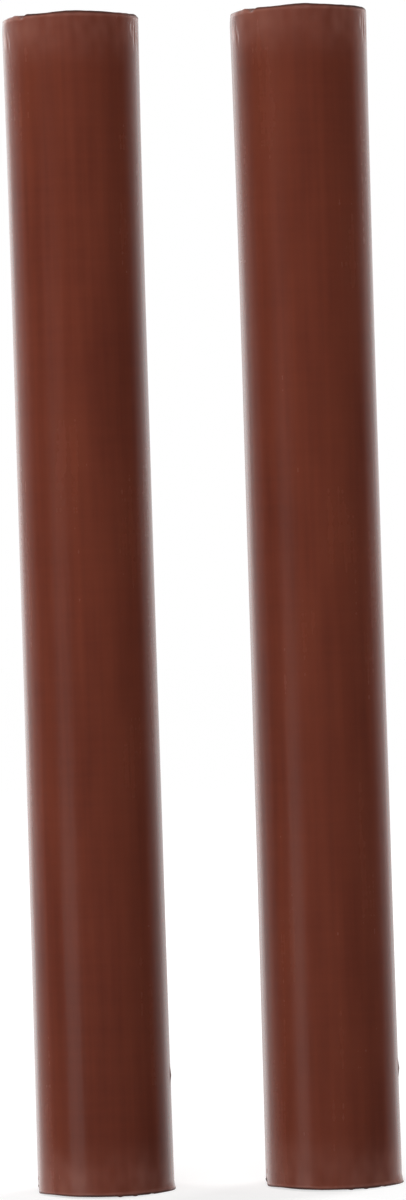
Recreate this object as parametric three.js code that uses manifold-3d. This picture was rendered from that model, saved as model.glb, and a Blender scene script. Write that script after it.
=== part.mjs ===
// A pair of wax filler sticks, each one solid round rod of brown wax.
//
// The wax is drawn to a rod and chopped to length while it is still warm. The blade spreads the foot a
// little, the side draws in to a slight waist as it cools, and the upper cut is left with a soft rim
// round a low crown. The blade also leaves a nick in the top rim and breaks a chip out of the foot rim.
//
// Millimetres, +Z up. The origin lies on the surface that the sticks stand on, midway between them.
// The front is -Y, and the left stick is at -X.

import * as THREE from "three";
import { mergeVertices } from "three/addons/utils/BufferGeometryUtils.js";
import Module from "manifold-3d";

const wasm = await Module();
wasm.setup();

// Driving dimensions, in millimetres, with bearings in degrees round from the front

const LENGTH = 95.7; // from the foot to the top of the crown
const PITCH = 18.6; // between the axes of the two sticks

const FOOT_DIAMETER = 11.2; // across the chopped foot
const STEM_DIAMETER = 11.1; // just above the flare of the foot
const WAIST_DIAMETER = 10.9; // where the side draws in most
const TOP_DIAMETER = 11.15; // just under the top rim

const FLARE_HEIGHT = 2; // of the foot's flare
const WAIST_DROP = 31.5; // from the top of the crown down to the waist
const SWELL_HEIGHT = 12; // over which the side swells out again under the top rim

const FOOT_ROUND = 0.1; // radius of the foot rim
const TOP_ROUND = 0.15; // radius of the top rim
const CROWN_RISE = 0.12; // of the chopped top above its rim

const NICK_WIDTH = 0.8;
const NICK_DEPTH = 0.2; // at the side
const NICK_REACH = 1; // in from the side to where the nick runs out
const NICK_BEARING = -45; // to the left

const CHIP_RADIUS = 0.9; // of the scoop that the chip leaves
const CHIP_BITE = 0.35; // how deep the scoop goes into the corner of the foot
const CHIP_BEARING = -84; // to the left

const WAX_COLOUR = 0x683426;
const WAX_ROUGHNESS = 0.45;

// Fineness of the facets

const ROUND_STEPS = 64;
const RIM_STEPS = 4;
const FLARE_STEPS = 3;
const SIDE_STEPS = 6;
const CROWN_STEPS = 4;
const NICK_STEPS = 24;
const CHIP_STEPS = 16;
const WELD_DISTANCE = 1e-4;

// The half outline of a stick, from the middle of the foot up the side to the middle of the crown.
function stickOutline() {
  const footRadius = FOOT_DIAMETER / 2;
  const stemRadius = STEM_DIAMETER / 2;
  const waistRadius = WAIST_DIAMETER / 2;
  const topRadius = TOP_DIAMETER / 2;
  const waistHeight = LENGTH - WAIST_DROP;
  const sideTop = LENGTH - CROWN_RISE - TOP_ROUND;

  const at = (radius, height) => new THREE.Vector2(radius, height);
  const bend = (start, pull, end) => new THREE.QuadraticBezierCurve(start, pull, end);

  const footEdge = at(footRadius, FOOT_ROUND);
  const stem = at(stemRadius, FLARE_HEIGHT);
  const waist = at(waistRadius, waistHeight);
  const topEdge = at(topRadius, sideTop);

  const footCentre = new THREE.LineCurve(at(0, 0), at(footRadius - FOOT_ROUND, 0));
  const footRim = rimArc(at(footRadius - FOOT_ROUND, FOOT_ROUND), FOOT_ROUND, -Math.PI / 2);
  const footFlare = bend(footEdge, at(stemRadius, FOOT_ROUND), stem);
  const lowerSide = bend(stem, at(waistRadius, (FLARE_HEIGHT + waistHeight) / 2), waist);
  const upperSide = bend(waist, at(waistRadius, sideTop - SWELL_HEIGHT), topEdge);
  const topRim = rimArc(at(topRadius - TOP_ROUND, sideTop), TOP_ROUND, 0);
  const crown = crownArc(topRadius - TOP_ROUND);

  return joinCurves([
    [footCentre, 1],
    [footRim, RIM_STEPS],
    [footFlare, FLARE_STEPS],
    [lowerSide, SIDE_STEPS],
    [upperSide, SIDE_STEPS],
    [topRim, RIM_STEPS],
    [crown, CROWN_STEPS],
  ]);
}

// A quarter round, anticlockwise from the start angle.
function rimArc(centre, radius, start) {
  return new THREE.EllipseCurve(centre.x, centre.y, radius, radius, start, start + Math.PI / 2);
}

// The low crown, an arc from the inner edge of the top rim to the axis.
function crownArc(reach) {
  const radius = (reach ** 2 + CROWN_RISE ** 2) / (2 * CROWN_RISE);
  const start = Math.acos(reach / radius);
  return new THREE.EllipseCurve(0, LENGTH - radius, radius, radius, start, Math.PI / 2);
}

// The points of curves that run end to end, with each shared end kept once.
function joinCurves(runs) {
  return runs.flatMap(([curve, steps], index) => curve.getPoints(steps).slice(index ? 1 : 0));
}

// The round-bottomed nick that the blade leaves in the top rim. It slopes up inwards until it runs out.
function nickCutter() {
  const radius = (NICK_WIDTH ** 2 / 4 + NICK_DEPTH ** 2) / (2 * NICK_DEPTH);
  const axisHeight = LENGTH - CROWN_RISE - NICK_DEPTH + radius;
  const slope = Math.atan2(NICK_DEPTH, NICK_REACH);
  const cutterLength = 4 * NICK_REACH;
  return new THREE.CylinderGeometry(radius, radius, cutterLength, NICK_STEPS)
    .rotateX(slope)
    .translate(0, -TOP_DIAMETER / 2, axisHeight)
    .rotateZ(THREE.MathUtils.degToRad(NICK_BEARING));
}

// The scoop of the chip at the foot, centred out and down from the corner.
function chipCutter() {
  const offset = (CHIP_RADIUS - CHIP_BITE) * Math.SQRT1_2;
  return new THREE.SphereGeometry(CHIP_RADIUS, CHIP_STEPS, CHIP_STEPS)
    .translate(0, -FOOT_DIAMETER / 2 - offset, -offset)
    .rotateZ(THREE.MathUtils.degToRad(CHIP_BEARING));
}

// A closed geometry as a solid, without the triangles that shrink to nothing on an axis.
function toSolid(geometry) {
  geometry.deleteAttribute("normal");
  geometry.deleteAttribute("uv");
  const welded = mergeVertices(geometry, WELD_DISTANCE);
  const corners = welded.getIndex().array;
  const triangles = [];
  for (let first = 0; first < corners.length; first += 3) {
    const [a, b, c] = corners.slice(first, first + 3);
    if (a !== b && b !== c && c !== a) triangles.push(a, b, c);
  }
  return new wasm.Manifold(
    new wasm.Mesh({
      numProp: 3,
      vertProperties: welded.getAttribute("position").array,
      triVerts: new Uint32Array(triangles),
    }),
  );
}

// A solid as a geometry again.
function toGeometry(solid) {
  const mesh = solid.getMesh();
  const geometry = new THREE.BufferGeometry();
  geometry.setAttribute("position", new THREE.BufferAttribute(mesh.vertProperties, 3));
  geometry.setIndex(new THREE.BufferAttribute(mesh.triVerts, 1));
  geometry.computeVertexNormals();
  return geometry;
}

// One stick, standing on its foot with its axis on Z.
function stickGeometry() {
  const turned = new THREE.LatheGeometry(stickOutline(), ROUND_STEPS).rotateX(Math.PI / 2);
  const chopped = toSolid(turned).subtract(toSolid(nickCutter())).subtract(toSolid(chipCutter()));
  return toGeometry(chopped);
}

// A named stick, with its axis at the given place along X.
function waxStick(name, geometry, place) {
  const wax = new THREE.MeshStandardMaterial({
    color: WAX_COLOUR,
    roughness: WAX_ROUGHNESS,
    metalness: 0,
  });
  const stick = new THREE.Mesh(geometry, wax);
  stick.name = name;
  stick.position.x = place;
  return stick;
}

const rod = stickGeometry();
const sticks = new THREE.Group();
sticks.add(waxStick("left_wax_stick", rod, -PITCH / 2));
sticks.add(waxStick("right_wax_stick", rod, PITCH / 2));

export default sticks;
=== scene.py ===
"""Dresses a pair of brown wax filler sticks and lights them in a pale studio.

Sizes are millimetres and angles degrees, unless a name says otherwise. MM turns a size to metres where a
mesh, a lamp, a camera or a pattern needs it. A bearing is measured round a stick from its front, which
faces -Y, and is positive to the right.
"""

import logging
import math
from dataclasses import dataclass
from enum import Enum

import bmesh
import bpy
from mathutils import Matrix, Vector, noise


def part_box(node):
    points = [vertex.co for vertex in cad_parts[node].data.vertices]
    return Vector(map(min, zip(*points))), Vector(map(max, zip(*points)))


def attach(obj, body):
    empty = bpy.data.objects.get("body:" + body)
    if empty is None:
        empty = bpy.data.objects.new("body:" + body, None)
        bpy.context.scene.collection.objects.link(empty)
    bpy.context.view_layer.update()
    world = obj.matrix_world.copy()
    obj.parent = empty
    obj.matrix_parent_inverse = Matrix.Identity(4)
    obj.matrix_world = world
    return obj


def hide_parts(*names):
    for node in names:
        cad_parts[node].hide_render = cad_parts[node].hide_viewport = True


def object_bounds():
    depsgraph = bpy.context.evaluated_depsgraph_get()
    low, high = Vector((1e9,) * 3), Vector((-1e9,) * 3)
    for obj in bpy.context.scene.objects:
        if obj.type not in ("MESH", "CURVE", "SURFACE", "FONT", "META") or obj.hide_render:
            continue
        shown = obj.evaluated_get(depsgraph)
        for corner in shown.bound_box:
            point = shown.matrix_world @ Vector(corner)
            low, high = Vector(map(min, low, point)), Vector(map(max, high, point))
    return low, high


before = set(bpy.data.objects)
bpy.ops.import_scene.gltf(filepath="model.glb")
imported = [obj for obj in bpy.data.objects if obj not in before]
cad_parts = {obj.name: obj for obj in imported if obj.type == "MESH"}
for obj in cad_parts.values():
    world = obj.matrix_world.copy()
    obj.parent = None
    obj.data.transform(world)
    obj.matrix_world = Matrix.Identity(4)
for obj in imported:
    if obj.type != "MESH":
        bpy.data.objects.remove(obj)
CAD_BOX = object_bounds()

LOG = logging.getLogger("wax_sticks")
MM = 0.001
WHITE = "#FFFFFF"
IMAGE_HEIGHT = 1200

# The sRGB curve: a straight start up to the knee, and a power above it
SRGB_KNEE = 0.04045
SRGB_SLOPE = 12.92
SRGB_OFFSET = 0.055
SRGB_POWER = 2.4


class Face(Enum):
    """The two kinds of surface on a stick, as material slots."""

    SIDE = 0
    END = 1


class Paint(Enum):
    """What the shaping leaves on each point, from 0 to 1, for the finishes to read."""

    BLOOM = "bloom"
    TORN = "torn"
    SMEAR = "smear"


def linear(hex_colour: str) -> tuple[float, float, float, float]:
    """Turns an sRGB hex colour to linear light.

    Args:
        hex_colour: Six hex digits after a hash sign.

    Returns:
        Red, green, blue and a full alpha.
    """
    channels = [int(hex_colour[place : place + 2], 16) / 255 for place in (1, 3, 5)]
    curve = [
        share / SRGB_SLOPE
        if share <= SRGB_KNEE
        else ((share + SRGB_OFFSET) / (1 + SRGB_OFFSET)) ** SRGB_POWER
        for share in channels
    ]
    return (*curve, 1.0)


def ease(share: float) -> float:
    """Smooths a share that runs from 0 to 1, and holds it at its ends."""
    held = min(1.0, max(0.0, share))
    return held * held * (3 - 2 * held)


def blotch(spot: Vector, width: float, length: float) -> float:
    """Gives noise about 0, in blotches of a width round the stick and a length along it."""
    return noise.noise(Vector((spot.x / width, spot.y / width, spot.z / length)))


def add_node(
    tree: bpy.types.NodeTree, kind: str, inputs: dict | None = None, **settings: object
) -> bpy.types.Node:
    """Adds a node, sets it and joins its inputs.

    Args:
        tree: The node tree that gets the node.
        kind: The node's type name.
        inputs: For each input, by name or number, the socket it is joined to or its own value.
        **settings: The node's own properties.

    Returns:
        The new node.
    """
    node = tree.nodes.new(kind)
    for name, value in settings.items():
        setattr(node, name, value)
    for key, value in (inputs or {}).items():
        if isinstance(value, bpy.types.NodeSocket):
            tree.links.new(value, node.inputs[key])
        else:
            node.inputs[key].default_value = value
    return node


@dataclass(frozen=True)
class FillerWax:
    """What every surface of the coloured filler wax shares.

    Wax bends light a little less than most plastics, and light goes about a millimetre into it, the red
    furthest. A pale bloom comes up near the ends, and the pale line beside each rim is partly bloom and
    partly a painted highlight. Torn wax scatters light and looks paler, and on small scuffs that pale paint
    is a painted glint. The lip that the blade smeared is dull, and its dark colour is painted shade of the
    rim's unlit edge. A pattern's tone mostly lies between its low and its high value.
    """

    name: str
    roughness: float
    roughness_spread: float
    refraction: float = 1.46
    translucency: float = 0.2
    light_reach: tuple[float, float, float] = (1.2, 0.45, 0.25)
    bloom_and_highlight_colour: str = "#8C5A4E"
    torn_and_glint_colour: str = "#966E64"
    smear_and_shade_colour: str = "#3A2420"
    smear_roughness: float = 0.75
    tone_low: float = 0.3
    tone_high: float = 0.7

    def begin(self) -> tuple[bpy.types.Material, bpy.types.NodeTree, bpy.types.NodeSocket]:
        """Starts the material.

        Returns:
            The material, its empty node tree and the place of each point on the piece.
        """
        made = bpy.data.materials.new(self.name)
        made.use_nodes = True
        tree = made.node_tree
        tree.nodes.clear()
        return made, tree, add_node(tree, "ShaderNodeTexCoord").outputs["Object"]

    def painted(self, tree: bpy.types.NodeTree, body: bpy.types.NodeSocket) -> bpy.types.NodeSocket:
        """Lays the bloom with its painted highlight line, the torn wax with its painted glints, and the
        smeared lip's painted shade over the body colour.

        Args:
            tree: The material's node tree.
            body: The colour of the sound wax.

        Returns:
            The colour of the whole surface.
        """
        coats = {
            Paint.BLOOM: self.bloom_and_highlight_colour,
            Paint.TORN: self.torn_and_glint_colour,
            Paint.SMEAR: self.smear_and_shade_colour,
        }
        for paint, colour in coats.items():
            share = add_node(tree, "ShaderNodeAttribute", attribute_name=paint.value)
            coat = add_node(
                tree,
                "ShaderNodeMix",
                {"Factor": share.outputs["Fac"], "A": body, "B": linear(colour)},
                data_type="RGBA",
            )
            body = coat.outputs["Result"]
        return body

    def glossed(self, tree: bpy.types.NodeTree, tone: bpy.types.NodeSocket) -> bpy.types.NodeSocket:
        """Varies the roughness with the tone, and leaves the smeared lip dull.

        Args:
            tree: The material's node tree.
            tone: A pattern about 0.5.

        Returns:
            The roughness of each point.
        """
        gloss = add_node(
            tree,
            "ShaderNodeMapRange",
            {
                "Value": tone,
                "From Min": self.tone_low,
                "From Max": self.tone_high,
                "To Min": self.roughness - self.roughness_spread / 2,
                "To Max": self.roughness + self.roughness_spread / 2,
            },
        )
        share = add_node(tree, "ShaderNodeAttribute", attribute_name=Paint.SMEAR.value)
        dulled = add_node(
            tree,
            "ShaderNodeMix",
            {"Factor": share.outputs["Fac"], "A": gloss.outputs[0], "B": self.smear_roughness},
        )
        return dulled.outputs[0]

    def relief(
        self, tree: bpy.types.NodeTree, layers: list[tuple[bpy.types.NodeSocket, float]]
    ) -> bpy.types.NodeSocket:
        """Adds fine relief, one pattern over another.

        Args:
            tree: The material's node tree.
            layers: Each pattern and its depth.

        Returns:
            The normal of each point.
        """
        normal = add_node(tree, "ShaderNodeNewGeometry").outputs["Normal"]
        for pattern, depth in layers:
            bump = add_node(
                tree,
                "ShaderNodeBump",
                {"Height": pattern, "Distance": depth * MM, "Normal": normal},
            )
            normal = bump.outputs[0]
        return normal

    def finish(
        self,
        tree: bpy.types.NodeTree,
        colour: bpy.types.NodeSocket,
        roughness: bpy.types.NodeSocket,
        normal: bpy.types.NodeSocket,
    ) -> None:
        """Closes the material with its shader.

        Args:
            tree: The material's node tree.
            colour: The surface's colour.
            roughness: Its roughness.
            normal: Its normal, with the relief.
        """
        wax = add_node(
            tree,
            "ShaderNodeBsdfPrincipled",
            {
                "Base Color": colour,
                "Roughness": roughness,
                "IOR": self.refraction,
                "Subsurface Weight": self.translucency,
                "Subsurface Radius": self.light_reach,
                "Subsurface Scale": MM,
                "Normal": normal,
            },
        )
        add_node(tree, "ShaderNodeOutputMaterial", {"Surface": wax.outputs[0]})


@dataclass(frozen=True)
class DrawnWax(FillerWax):
    """Filler wax drawn through a round die: a satin skin with faint lines along the stick.

    The pigment sits a little unevenly, the die leaves fine streaks, and the pull leaves weak rings. The
    streaks and the grain of a real stick are a tenth of a millimetre or less, and are drawn coarser here to
    show. The tone runs from the deep colour, below one value, to the full colour, above another.
    """

    name: str = "drawn_filler_wax"
    roughness: float = 0.25
    roughness_spread: float = 0.10
    colour: str = "#703422"
    deep_colour: str = "#58261A"
    mottle_width: float = 3.5
    mottle_length: float = 14.0
    mottle_detail: float = 4.0
    streak_width: float = 0.6
    streak_length: float = 26.0
    streak_detail: float = 2.0
    streak_share: float = 0.35
    ring_width: float = 0.6
    ring_length: float = 6.0
    ring_detail: float = 2.0
    ring_share: float = 0.12
    grain_width: float = 0.4
    grain_detail: float = 1.0
    streak_depth: float = 0.008
    ring_depth: float = 0.008
    grain_depth: float = 0.006
    deep_below: float = 0.28
    full_above: float = 0.72

    def material(self) -> bpy.types.Material:
        """Builds the finish.

        Returns:
            The material of a stick's side.
        """
        made, tree, place = self.begin()
        mottle_squeeze = (1, 1, self.mottle_width / self.mottle_length)
        mottle_place = add_node(tree, "ShaderNodeMapping", {"Vector": place, "Scale": mottle_squeeze})
        mottle = add_node(
            tree,
            "ShaderNodeTexNoise",
            {
                "Vector": mottle_place.outputs[0],
                "Scale": 1 / (self.mottle_width * MM),
                "Detail": self.mottle_detail,
            },
        )
        streak_squeeze = (1, 1, self.streak_width / self.streak_length)
        streak_place = add_node(tree, "ShaderNodeMapping", {"Vector": place, "Scale": streak_squeeze})
        streak = add_node(
            tree,
            "ShaderNodeTexNoise",
            {
                "Vector": streak_place.outputs[0],
                "Scale": 1 / (self.streak_width * MM),
                "Detail": self.streak_detail,
            },
        )
        ring_squeeze = self.ring_width / self.ring_length
        ring_place = add_node(
            tree,
            "ShaderNodeMapping",
            {"Vector": place, "Scale": (ring_squeeze, ring_squeeze, 1)},
        )
        ring = add_node(
            tree,
            "ShaderNodeTexNoise",
            {
                "Vector": ring_place.outputs[0],
                "Scale": 1 / (self.ring_width * MM),
                "Detail": self.ring_detail,
            },
        )
        grain = add_node(
            tree,
            "ShaderNodeTexNoise",
            {"Vector": place, "Scale": 1 / (self.grain_width * MM), "Detail": self.grain_detail},
        )
        lengthwise = add_node(
            tree,
            "ShaderNodeMix",
            {"Factor": self.streak_share, "A": mottle.outputs[0], "B": streak.outputs[0]},
        )
        tone = add_node(
            tree,
            "ShaderNodeMix",
            {"Factor": self.ring_share, "A": lengthwise.outputs[0], "B": ring.outputs[0]},
        )
        depth = add_node(
            tree,
            "ShaderNodeMapRange",
            {"Value": tone.outputs[0], "From Min": self.deep_below, "From Max": self.full_above},
        )
        body = add_node(
            tree,
            "ShaderNodeMix",
            {
                "Factor": depth.outputs[0],
                "A": linear(self.deep_colour),
                "B": linear(self.colour),
            },
            data_type="RGBA",
        )
        layers = [
            (streak.outputs[0], self.streak_depth),
            (ring.outputs[0], self.ring_depth),
            (grain.outputs[0], self.grain_depth),
        ]
        colour = self.painted(tree, body.outputs["Result"])
        self.finish(tree, colour, self.glossed(tree, tone.outputs[0]), self.relief(tree, layers))
        return made


@dataclass(frozen=True)
class ChoppedWax(FillerWax):
    """Filler wax cut across with a blade: dull and darker, with drag lines and small pale crumbs."""

    name: str = "chopped_filler_wax"
    roughness: float = 0.62
    roughness_spread: float = 0.16
    colour: str = "#5A2A1D"
    crumb_colour: str = "#74463A"
    drag_width: float = 0.5
    drag_length: float = 5.0
    drag_turn: float = 28.0
    drag_detail: float = 3.0
    crumb_width: float = 0.35
    crumb_detail: float = 5.0
    crumb_share: float = 0.5
    drag_depth: float = 0.03
    crumb_depth: float = 0.03
    pale_from: float = 0.40
    pale_to: float = 0.68
    palest: float = 0.6

    def material(self) -> bpy.types.Material:
        """Builds the finish.

        Returns:
            The material of a stick's two ends.
        """
        made, tree, place = self.begin()
        drag_place = add_node(
            tree,
            "ShaderNodeMapping",
            {
                "Vector": place,
                "Rotation": (0, 0, math.radians(self.drag_turn)),
                "Scale": (1, self.drag_length / self.drag_width, 1),
            },
            vector_type="TEXTURE",
        )
        drag = add_node(
            tree,
            "ShaderNodeTexNoise",
            {
                "Vector": drag_place.outputs[0],
                "Scale": 1 / (self.drag_width * MM),
                "Detail": self.drag_detail,
            },
        )
        crumb = add_node(
            tree,
            "ShaderNodeTexNoise",
            {"Vector": place, "Scale": 1 / (self.crumb_width * MM), "Detail": self.crumb_detail},
        )
        tone = add_node(
            tree,
            "ShaderNodeMix",
            {"Factor": self.crumb_share, "A": drag.outputs[0], "B": crumb.outputs[0]},
        )
        pale = add_node(
            tree,
            "ShaderNodeMapRange",
            {
                "Value": tone.outputs[0],
                "From Min": self.pale_from,
                "From Max": self.pale_to,
                "To Max": self.palest,
            },
        )
        face = add_node(
            tree,
            "ShaderNodeMix",
            {
                "Factor": pale.outputs[0],
                "A": linear(self.colour),
                "B": linear(self.crumb_colour),
            },
            data_type="RGBA",
        )
        layers = [(drag.outputs[0], self.drag_depth), (crumb.outputs[0], self.crumb_depth)]
        colour = self.painted(tree, face.outputs["Result"])
        self.finish(tree, colour, self.glossed(tree, crumb.outputs[0]), self.relief(tree, layers))
        return made


@dataclass(frozen=True)
class Mark:
    """A small dent, chip, scuff or burr, strongest at its middle and fading out over its half sizes.

    It pushes the wax out and lifts it, or the other way where the number is negative, and leaves it torn
    and paler, which on small scuffs is a painted glint, or painted dark, which at the lip and the chip is
    painted shade, from 0 to 1. The bearing and the height are those of its middle.
    """

    bearing: float
    height: float
    half_width: float
    half_height: float
    push: float = 0.0
    lift: float = 0.0
    torn: float = 0.0
    smear: float = 0.0

    def strength(self, arc: float, rise: float) -> float:
        """How strongly the mark acts on a point.

        Args:
            arc: Distance round the stick from the mark's middle.
            rise: Distance up the stick from it.

        Returns:
            A share from 0 to 1.
        """
        return ease(1 - math.hypot(arc / self.half_width, rise / self.half_height))


@dataclass
class Point:
    """A point of a stick's shell while it is shaped: where it is, how far it moves and what it is painted.

    Its bearing is in radians. It lies some way from the nearer end, and some way in from the side.
    """

    spot: Vector
    bearing: float
    radius: float
    height: float
    at_top: bool
    to_end: float
    inside: float
    push: float = 0.0
    lift: float = 0.0
    bloom: float = 0.0
    torn: float = 0.0
    smear: float = 0.0


@dataclass(frozen=True)
class DrawnSide:
    """The side of a stick as the die leaves it, with slow swells and finer ripples along it."""

    swell_width: float = 7.0
    swell_length: float = 22.0
    swell_depth: float = 0.018
    ripple_width: float = 1.6
    ripple_length: float = 9.0
    ripple_depth: float = 0.006

    def wave(self, point: Point) -> None:
        """Pushes a point of the side in or out.

        Args:
            point: The point to move.
        """
        swell = blotch(point.spot, self.swell_width, self.swell_length)
        ripple = blotch(point.spot, self.ripple_width, self.ripple_length)
        point.push += self.swell_depth * swell + self.ripple_depth * ripple


@dataclass(frozen=True)
class EndBloom:
    """The pale haze near an end, cloudy and scuffed.

    The start is over 1, so the haze stays full for a little way before it fades over the reach. It is
    stronger on the side halfway between the front or back and the left or right.
    """

    start: float = 1.15
    reach: float = 4.4
    level: float = 0.21
    between_level: float = 0.15
    between_depth: float = 0.6
    cloud_width: float = 3.0
    cloud_length: float = 4.0
    cloud_share: float = 0.5
    scuff_width: float = 0.7
    scuff_length: float = 1.3
    scuff_share: float = 0.6

    def settle(self, point: Point) -> None:
        """Paints the haze on a point.

        Args:
            point: The point to paint.
        """
        haze = ease(self.start - point.to_end / self.reach)
        if haze == 0.0:
            return
        between = math.sin(2 * point.bearing) ** 2 * ease(1 - point.inside / self.between_depth)
        cloud = blotch(point.spot, self.cloud_width, self.cloud_length)
        scuff = blotch(point.spot, self.scuff_width, self.scuff_length)
        uneven = 1 + self.cloud_share * cloud + self.scuff_share * scuff
        point.bloom += (self.level + self.between_level * between) * haze * uneven


@dataclass(frozen=True)
class ChoppedRim:
    """The rim of an end as the blade left it: crumbled, with a dull smeared lip painted dark as shade of
    its unlit edge, and a pale line beside it that is partly bloom and partly a painted highlight.

    The crumble fades out over a height up the side and a depth in over the end. On the left of the top the
    rim is worn and torn, and the rim of the foot stands a little off the floor, most in front on the left.
    Where a level has a spread, the crumble or the swell varies it.
    """

    height: float = 0.5
    depth: float = 0.9
    crumble_size: float = 0.55
    crumble_lift: float = 0.018
    crumble_push: float = 0.02
    swell_size: float = 2.1
    swell_lift: float = 0.03
    inset: float = 0.01
    lip_start: float = 1.15
    lip_width: float = 0.26
    lip_level: float = 0.75
    lip_spread: float = 0.5
    highlight_line_place: float = 0.28
    highlight_line_half_width: float = 0.2
    highlight_line_level: float = 0.4
    highlight_line_spread: float = 0.25
    worn_from: float = -88.0
    worn_from_fade: float = 17.2
    worn_to: float = -40.0
    worn_to_fade: float = 5.73
    worn_drop: float = 0.05
    worn_crumble: float = 0.04
    worn_inset: float = 0.03
    worn_level: float = 0.55
    worn_spread: float = 0.45
    foot_rise: float = 0.09
    foot_lean: float = 0.10
    foot_from: float = -82.0
    foot_fade: float = 35.0

    def worn(self, bearing: float) -> float:
        """How worn the top rim is at a bearing, in degrees, from 0 to 1."""
        start = ease((bearing - self.worn_from) / self.worn_from_fade)
        return start * ease((self.worn_to - bearing) / self.worn_to_fade)

    def off_floor(self, bearing: float) -> float:
        """How far the foot rim stands off the floor at a bearing, in degrees."""
        lean = self.foot_rise - self.foot_lean * math.sin(math.radians(bearing))
        return lean * ease((bearing - self.foot_from) / self.foot_fade)

    def cut(self, point: Point) -> None:
        """Crumbles, wears and smears the rim at a point.

        Args:
            point: The point to move and paint.
        """
        rim = ease(1 - math.hypot(point.to_end / self.height, point.inside / self.depth))
        if rim == 0.0:
            return
        bearing = math.degrees(point.bearing)
        worn = self.worn(bearing) if point.at_top else 0.0
        rise = 0.0 if point.at_top else self.off_floor(bearing)
        crumble = blotch(point.spot, self.crumble_size, self.crumble_size)
        swell = blotch(point.spot, self.swell_size, self.swell_size)
        lip = ease(self.lip_start - math.hypot(point.to_end, point.inside) / self.lip_width)
        highlight_line = ease(1 - abs(point.to_end - self.highlight_line_place) / self.highlight_line_half_width)
        point.lift += rim * (self.crumble_lift * crumble + self.swell_lift * swell + rise)
        point.lift -= rim * worn * (self.worn_drop + self.worn_crumble * crumble)
        point.push += rim * (self.crumble_push * crumble - self.inset - self.worn_inset * worn)
        point.torn += rim * worn * (self.worn_level + self.worn_spread * crumble)
        # The dark paint on the lip is painted shade of the rim's unlit edge, facing up at the top and down
        # at the foot
        point.smear += lip * (1 - worn) * (self.lip_level + self.lip_spread * swell)
        # The pale line is partly bloom and partly a painted highlight on the rim's rounding
        point.bloom += highlight_line * (self.highlight_line_level + self.highlight_line_spread * crumble)


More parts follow.
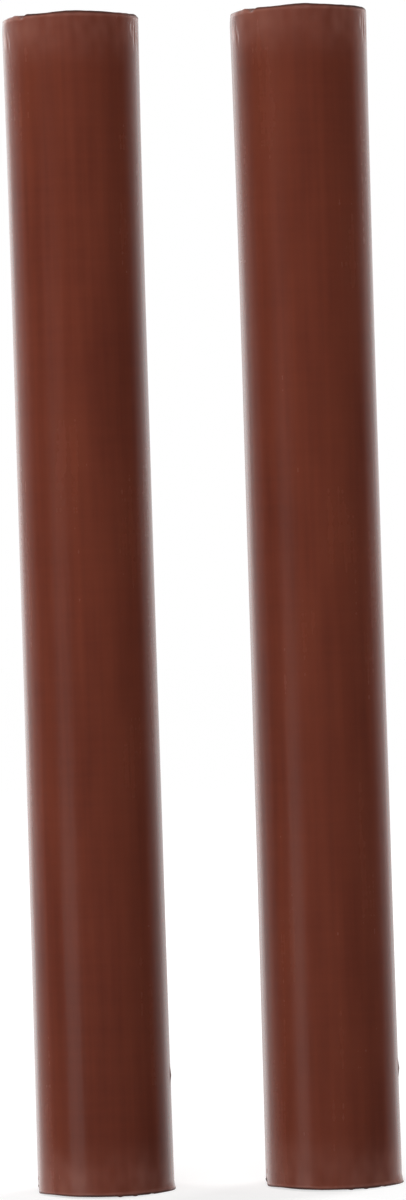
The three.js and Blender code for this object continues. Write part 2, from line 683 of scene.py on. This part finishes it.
@dataclass
class WaxStick:
    """One solid stick of wax: a drawn side with a slight waist, between two chopped ends.

    Its outline is that of the solid that it stands for. The noise origin is where along X its unevenness is
    read, so that no two sticks are quite alike. A mark reaches further in over an end than round it. A push
    fades out towards the axis, inside a share of the radius.
    """

    node: str
    noise_origin: float
    stem_diameter: float = 11.1
    waist_diameter: float = 10.9
    top_diameter: float = 11.15
    flare_height: float = 2.0
    waist_drop: float = 31.5
    swell_height: float = 12.0
    foot_round: float = 0.1
    top_round: float = 0.15
    crown_rise: float = 0.12
    side: DrawnSide = DrawnSide()
    bloom: EndBloom = EndBloom()
    rim: ChoppedRim = ChoppedRim()
    mark_reach_in: float = 2.5
    push_fades_at: float = 0.5
    end_facing: float = 0.8
    weld_distance: float = 1e-4
    end_stretch: float = 5.0
    round_steps: int = 288
    disc_cuts: int = 28
    end_cuts: int = 56
    middle_cuts: int = 100
    rim_steps: int = 6

    def __post_init__(self) -> None:
        """Takes the stick's place, length and foot from the frame."""
        low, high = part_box(self.node)
        self.axis_x = (low.x + high.x) / 2 / MM
        self.length = (high.z - low.z) / MM
        self.foot_radius = (high.x - low.x) / 2 / MM
        self.rim_height = self.length - self.crown_rise
        self.marks = self.end_marks()

    def end_marks(self) -> tuple[Mark, ...]:
        """The marks that chopping and handling left, at their places in the photograph.

        Returns:
            The marks, from the top of the stick to its foot.
        """
        top = self.rim_height
        return (
            # The top rim: its worn corner, the nick, and then its rises and dips
            Mark(-88, top, 2.5, 1.0, push=-0.07),
            # The nick's pale torn paint is partly painted light that lifts the shade in it
            Mark(-44.2, top, 0.65, 0.6, push=-0.03, lift=-0.25, torn=0.5),
            Mark(-54, top, 0.4, 0.4, lift=0.05, torn=0.6),
            Mark(-27, top, 2.2, 0.5, lift=-0.07),
            Mark(4, top, 1.6, 0.5, lift=0.04),
            Mark(38, top, 2.2, 0.5, lift=-0.04),
            Mark(74, top, 1.0, 0.5, lift=0.05),
            # Scuffs under the top rim, on the right and on the left, their pale torn paint partly a painted
            # glint
            Mark(65, top - 1.2, 0.22, 0.9, push=-0.05, torn=1.0),
            Mark(70, top - 1.7, 0.24, 1.6, push=-0.06, torn=1.0),
            Mark(77, top - 1.9, 0.26, 1.6, push=-0.05, torn=1.0),
            Mark(-74, top - 1.9, 0.5, 1.1, push=-0.01, torn=1.0),
            Mark(-66, top - 1.6, 0.25, 0.7, push=-0.02, torn=0.5),
            Mark(-64, top - 2.2, 0.2, 0.8, push=-0.04, torn=0.4),
            # A burr on the right side, painted dark
            Mark(84, 9.2, 0.3, 0.4, push=0.1, smear=1.0),
            # The foot rim: the chip, painted dark as its shade, the flared right corner, and small burrs
            # and nicks
            Mark(-85, 0.2, 0.9, 0.7, push=-0.08, smear=1.0),
            Mark(-90, 0, 1.3, 0.9, lift=0.4),
            Mark(68, 0, 0.9, 0.4, lift=-0.08),
            Mark(76, 0, 2.0, 0.8, push=0.16, lift=-0.12),
            Mark(-80, 1.2, 0.14, 0.3, push=-0.06),
            Mark(13, 0, 0.3, 0.25, lift=-0.06),
            Mark(26.5, 0, 0.3, 0.25, lift=-0.06),
            Mark(43, 0, 0.35, 0.3, lift=0.05, torn=0.6),
        )

    def side_radius(self, height: float) -> float:
        """The radius of the drawn side before it was marked.

        Args:
            height: Height above the foot.

        Returns:
            The radius at that height.
        """
        stem = self.stem_diameter / 2
        waist = self.waist_diameter / 2
        top = self.top_diameter / 2
        waist_height = self.length - self.waist_drop
        side_top = self.rim_height - self.top_round
        if height < self.flare_height:
            share = max(0.0, height - self.foot_round) / (self.flare_height - self.foot_round)
            return stem + (self.foot_radius - stem) * (1 - math.sqrt(share)) ** 2
        if height < waist_height:
            share = (waist_height - height) / (waist_height - self.flare_height)
            return waist + (stem - waist) * share**2
        pull = side_top - self.swell_height
        bend = waist_height - 2 * pull + side_top
        slope = pull - waist_height
        rise = min(height, side_top) - waist_height
        share = (math.sqrt(slope**2 + bend * rise) - slope) / bend
        return waist + (top - waist) * share**2

    def cuts_along(self, run: bmesh.types.BMEdge) -> int:
        """How finely a stretch of the outline is cut.

        Args:
            run: A stretch of the foot, the side or the top.

        Returns:
            The number of cuts.
        """
        rise = abs(run.verts[0].co.z - run.verts[1].co.z)
        if rise < self.top_round:
            return self.disc_cuts
        return self.end_cuts if rise <= self.end_stretch else self.middle_cuts

    def turn(self) -> bmesh.types.BMesh:
        """Turns the plain rod: a half outline with rounded corners, cut finely and spun.

        Returns:
            The rod's shell, in millimetres, about its own axis.
        """
        shell = bmesh.new()
        outline = [
            (0, 0),
            (self.foot_radius, 0),
            (self.foot_radius, self.end_stretch),
            (self.foot_radius, self.rim_height - self.end_stretch),
            (self.foot_radius, self.rim_height),
            (0, self.rim_height),
        ]
        points = [shell.verts.new((radius, 0, height)) for radius, height in outline]
        for pair in zip(points, points[1:]):
            shell.edges.new(pair)
        for corner, size in ((points[1], self.foot_round), (points[4], self.top_round)):
            bmesh.ops.bevel(
                shell,
                geom=[corner],
                offset=size,
                offset_type="OFFSET",
                affect="VERTICES",
                segments=self.rim_steps,
                profile=0.5,
                material=-1,
            )
        long_runs = [edge for edge in shell.edges if edge.calc_length() > self.top_round]
        for run in long_runs:
            bmesh.ops.subdivide_edges(shell, edges=[run], cuts=self.cuts_along(run))
        bmesh.ops.spin(
            shell,
            geom=shell.verts[:] + shell.edges[:],
            cent=(0, 0, 0),
            axis=(0, 0, 1),
            angle=2 * math.pi,
            steps=self.round_steps,
            use_merge=True,
        )
        bmesh.ops.remove_doubles(shell, verts=shell.verts[:], dist=self.weld_distance)
        bmesh.ops.recalc_face_normals(shell, faces=shell.faces[:])
        return shell

    def shape(self, shell: bmesh.types.BMesh) -> None:
        """Gives the plain rod its waist, crown and marks, and paints what they leave on the wax.

        Args:
            shell: The turned rod, changed in place.
        """
        layers = {paint: shell.verts.layers.float.new(paint.value) for paint in Paint}
        noise_origin = Vector((self.noise_origin, 0, 0))
        for vert in shell.verts:
            plain_radius = math.hypot(vert.co.x, vert.co.y)
            height = vert.co.z
            side_radius = self.side_radius(height)
            point = Point(
                spot=vert.co + noise_origin,
                bearing=math.atan2(vert.co.x, -vert.co.y),
                radius=plain_radius * side_radius / self.foot_radius,
                height=height,
                at_top=height > self.length / 2,
                to_end=min(height, self.rim_height - height),
                inside=(self.foot_radius - plain_radius) * side_radius / self.foot_radius,
            )
            self.side.wave(point)
            self.bloom.settle(point)
            self.crown(point)
            self.rim.cut(point)
            self.scar(point)
            radius = point.radius + point.push * ease(point.radius / (side_radius * self.push_fades_at))
            vert.co.x = radius * math.sin(point.bearing)
            vert.co.y = -radius * math.cos(point.bearing)
            vert.co.z = max(0.0, height + point.lift)
            vert[layers[Paint.BLOOM]] = min(1.0, point.bloom)
            vert[layers[Paint.TORN]] = min(1.0, max(0.0, point.torn))
            vert[layers[Paint.SMEAR]] = min(1.0, max(0.0, point.smear))

    def crown(self, point: Point) -> None:
        """Lifts a point of the top face to the low crown.

        Args:
            point: The point to move.
        """
        if point.at_top:
            flat_radius = self.top_diameter / 2 - self.top_round
            point.lift += self.crown_rise * max(0.0, 1 - (point.radius / flat_radius) ** 2)

    def scar(self, point: Point) -> None:
        """Puts the marks in.

        Args:
            point: The point to move and paint.
        """
        for mark in self.marks:
            rise = point.height - mark.height
            if abs(rise) > mark.half_height:
                continue
            turn = math.remainder(point.bearing - math.radians(mark.bearing), 2 * math.pi)
            arc = math.hypot(turn * self.foot_radius, point.inside / self.mark_reach_in)
            strength = mark.strength(arc, rise)
            point.push += mark.push * strength
            point.lift += mark.lift * strength
            point.torn = max(point.torn, mark.torn * strength)
            point.smear = max(point.smear * (1 - mark.torn * strength), mark.smear * strength)

    def build(self, finishes: dict[Face, bpy.types.Material]) -> bpy.types.Object:
        """Makes the stick, and puts it in the place of its solid.

        Args:
            finishes: The material of each kind of surface.

        Returns:
            The finished piece.
        """
        shell = self.turn()
        self.shape(shell)
        shell.normal_update()
        for face in shell.faces:
            face.smooth = True
            kind = Face.END if abs(face.normal.z) > self.end_facing else Face.SIDE
            face.material_index = kind.value
        to_frame = Matrix.Scale(MM, 4) @ Matrix.Translation((self.axis_x, 0, 0))
        bmesh.ops.transform(shell, matrix=to_frame, verts=shell.verts[:])
        mesh = bpy.data.meshes.new(f"{self.node}_wax")
        shell.to_mesh(mesh)
        shell.free()
        for kind in Face:
            mesh.materials.append(finishes[kind])
        piece = bpy.data.objects.new(f"{self.node}_wax", mesh)
        bpy.context.scene.collection.objects.link(piece)
        # Each stick shows the pale studio in its gloss, as in the photograph, and not its neighbour
        piece.visible_glossy = False
        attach(piece, "root")
        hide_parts(self.node)
        return piece


@dataclass(frozen=True)
class Softbox:
    """A lamp behind white cloth that faces the sticks from some bearing.

    The level is the share of a matt white surface's full brightness that the lamp gives where the sticks
    stand. A lamp may be kept out of the gloss, as a photographer does with a polarising filter, or be only
    for the gloss.
    """

    name: str
    bearing: float
    level: float
    distance: float
    width: float
    height: float
    middle: float
    in_diffuse: bool = True
    in_gloss: bool = False

    def build(self, aim: Vector) -> bpy.types.Object:
        """Hangs the lamp.

        Args:
            aim: The point that it faces, in metres.

        Returns:
            The lamp.
        """
        lamp = bpy.data.lights.new(self.name, "AREA")
        lamp.shape = "RECTANGLE"
        lamp.size = self.width * MM
        lamp.size_y = self.height * MM
        lamp.energy = self.level * (math.pi * self.distance * MM) ** 2
        turn = math.radians(self.bearing)
        place = Vector((math.sin(turn) * self.distance, -math.cos(turn) * self.distance, self.middle))
        box = bpy.data.objects.new(self.name, lamp)
        box.location = place * MM
        box.rotation_euler = (aim - box.location).to_track_quat("-Z", "Y").to_euler()
        box.visible_camera = False
        box.visible_diffuse = self.in_diffuse
        box.visible_glossy = self.in_gloss
        bpy.context.scene.collection.objects.link(box)
        return box


GLOSS_ONLY = {"in_diffuse": False, "in_gloss": True}

STUDIO_LAMPS = (
    Softbox("key_softbox", -45, 0.49, distance=320, width=170, height=120, middle=60),
    Softbox("fill_softbox", -3, 0.54, distance=200, width=140, height=110, middle=190),
    Softbox("left_back_softbox", -128, 1.05, distance=500, width=260, height=240, middle=80),
    Softbox("right_back_softbox", 132, 1.05, distance=500, width=260, height=240, middle=130),
    Softbox("left_rim_strip", -150, 0.12, distance=300, width=140, height=300, middle=100, **GLOSS_ONLY),
    Softbox("right_rim_strip", 150, 0.04, distance=300, width=140, height=300, middle=100, **GLOSS_ONLY),
    Softbox("low_sheen_card", -48, 0.038, distance=150, width=65, height=90, middle=-15, **GLOSS_ONLY),
    Softbox("tall_sheen_card", -48, 0.023, distance=150, width=65, height=132, middle=6, **GLOSS_ONLY),
)


@dataclass(frozen=True)
class Studio:
    """A pale floor in a surround that is white behind the sticks and dim on the camera's side."""

    floor_radius: float = 3000.0
    floor_drop: float = 0.02
    floor_sides: int = 96
    floor_colour: str = "#B4B4B4"
    near_glow: float = 0.62
    far_glow: float = 0.82
    glow_grows_from: float = 120.0
    glow_grows_to: float = 600.0
    room_level: float = 0.39
    left_level: float = 0.10
    right_level: float = 0.06
    left_until: float = -0.1
    right_from: float = 0.7
    left_lean: float = 0.08
    dim_until: float = 0.10
    white_from: float = 0.78

    def build(self) -> None:
        """Lays the floor and sets the surround."""
        shell = bmesh.new()
        bmesh.ops.create_circle(
            shell,
            cap_ends=True,
            segments=self.floor_sides,
            radius=self.floor_radius * MM,
        )
        mesh = bpy.data.meshes.new("studio_floor")
        shell.to_mesh(mesh)
        shell.free()
        mesh.materials.append(self.floor_material())
        floor = bpy.data.objects.new("studio_floor", mesh)
        floor.location.z = -self.floor_drop * MM
        # Gloss looks past the floor into the surround, which goes on below it
        floor.visible_glossy = False
        bpy.context.scene.collection.objects.link(floor)
        bpy.context.scene.world = self.surround()

    def whiteness(self, tree: bpy.types.NodeTree, way: bpy.types.NodeSocket) -> bpy.types.NodeSocket:
        """How bright the studio is in a direction: white behind, dim in front and dimmest to the right.

        Args:
            tree: The node tree that gets the nodes.
            way: The direction, of length 1.

        Returns:
            The brightness, where 1 is white.
        """
        aside = add_node(tree, "ShaderNodeSeparateXYZ", {"Vector": way})
        front = add_node(
            tree,
            "ShaderNodeMapRange",
            {
                "Value": aside.outputs["X"],
                "From Min": self.left_until,
                "From Max": self.right_from,
                "To Min": self.left_level,
                "To Max": self.right_level,
            },
        )
        back = add_node(
            tree,
            "ShaderNodeVectorMath",
            {0: way, 1: (-self.left_lean, 1, 0)},
            operation="DOT_PRODUCT",
        )
        level = add_node(
            tree,
            "ShaderNodeMapRange",
            {
                "Value": back.outputs["Value"],
                "From Min": self.dim_until,
                "From Max": self.white_from,
                "To Min": front.outputs[0],
                "To Max": 1.0,
            },
        )
        return level.outputs[0]

    def floor_material(self) -> bpy.types.Material:
        """A matt pale floor that glows for the camera and through glass, most where the lamps reach least.

        Returns:
            The floor's material.
        """
        made = bpy.data.materials.new("pale_studio_floor")
        made.use_nodes = True
        made.cycles.emission_sampling = "NONE"
        tree = made.node_tree
        tree.nodes.clear()
        path = add_node(tree, "ShaderNodeLightPath")
        place = add_node(tree, "ShaderNodeTexCoord").outputs["Object"]
        reach = add_node(tree, "ShaderNodeVectorMath", {0: place}, operation="LENGTH")
        pale = add_node(
            tree,
            "ShaderNodeMapRange",
            {
                "Value": reach.outputs["Value"],
                "From Min": self.glow_grows_from * MM,
                "From Max": self.glow_grows_to * MM,
                "To Min": self.near_glow,
                "To Max": self.far_glow,
            },
        )
        seen = add_node(
            tree,
            "ShaderNodeMath",
            {0: path.outputs["Is Camera Ray"], 1: path.outputs["Is Transmission Ray"]},
            operation="MAXIMUM",
        )
        glow = add_node(
            tree,
            "ShaderNodeMath",
            {0: seen.outputs[0], 1: pale.outputs[0]},
            operation="MULTIPLY",
        )
        light = add_node(tree, "ShaderNodeEmission", {"Strength": glow.outputs[0]})
        matt = add_node(tree, "ShaderNodeBsdfDiffuse", {"Color": linear(self.floor_colour)})
        both = add_node(tree, "ShaderNodeAddShader", {0: light.outputs[0], 1: matt.outputs[0]})
        add_node(tree, "ShaderNodeOutputMaterial", {"Surface": both.outputs[0]})
        return made

    def surround(self) -> bpy.types.World:
        """An even room, that is white to the camera, and in gloss white behind the sticks and dim in front.

        Returns:
            The world.
        """
        made = bpy.data.worlds.new("white_surround")
        made.use_nodes = True
        tree = made.node_tree
        tree.nodes.clear()
        way = add_node(tree, "ShaderNodeTexCoord").outputs["Generated"]
        path = add_node(tree, "ShaderNodeLightPath")
        bounced = add_node(
            tree,
            "ShaderNodeMath",
            {0: path.outputs["Is Glossy Ray"], 1: path.outputs["Is Transmission Ray"]},
            operation="MAXIMUM",
        )
        room = add_node(
            tree,
            "ShaderNodeMix",
            {
                "Factor": bounced.outputs[0],
                "A": self.room_level,
                "B": self.whiteness(tree, way),
            },
        )
        strength = add_node(
            tree,
            "ShaderNodeMath",
            {0: path.outputs["Is Camera Ray"], 1: room.outputs[0]},
            operation="MAXIMUM",
        )
        sky = add_node(
            tree,
            "ShaderNodeBackground",
            {"Color": linear(WHITE), "Strength": strength.outputs[0]},
        )
        add_node(tree, "ShaderNodeOutputWorld", {"Surface": sky.outputs[0]})
        return made


@dataclass(frozen=True)
class StudioCamera:
    """A long lens level with the middle of the sticks, rolled a little, as the photograph was taken."""

    distance: float = 380.0
    pixels_per_mm: float = 12.25
    roll: float = 1.788
    aside: float = 0.08
    sensor: float = 36.0

    def build(self, aim: Vector) -> bpy.types.Object:
        """Places the camera.

        Args:
            aim: The point at the middle of the picture, in metres, before the camera is moved aside.

        Returns:
            The camera, which the scene then uses.
        """
        lens = bpy.data.cameras.new("studio_camera")
        lens.sensor_width = self.sensor
        lens.lens = self.sensor * self.distance * self.pixels_per_mm / IMAGE_HEIGHT
        lens.clip_start = MM
        camera = bpy.data.objects.new("studio_camera", lens)
        place = Matrix.Translation(aim + Vector((self.aside, -self.distance, 0)) * MM)
        level = Matrix.Rotation(math.pi / 2, 4, "X")
        camera.matrix_world = place @ level @ Matrix.Rotation(math.radians(-self.roll), 4, "Z")
        bpy.context.scene.collection.objects.link(camera)
        bpy.context.scene.camera = camera
        return camera


def main() -> None:
    """Builds the studio and both sticks, and reports each piece."""
    logging.basicConfig(level=logging.INFO, format="%(name)s: %(message)s")
    middle = (CAD_BOX[0] + CAD_BOX[1]) / 2
    StudioCamera().build(middle)
    Studio().build()
    for lamp in STUDIO_LAMPS:
        lamp.build(middle)
    finishes = {Face.SIDE: DrawnWax().material(), Face.END: ChoppedWax().material()}
    sticks = (
        WaxStick("left_wax_stick", noise_origin=0),
        WaxStick("right_wax_stick", noise_origin=40),
    )
    for stick in sticks:
        piece = stick.build(finishes)
        LOG.info("%s: %d faces", piece.name, len(piece.data.polygons))
    bpy.context.scene.view_settings.view_transform = "Standard"


if __name__ == "__main__":
    main()
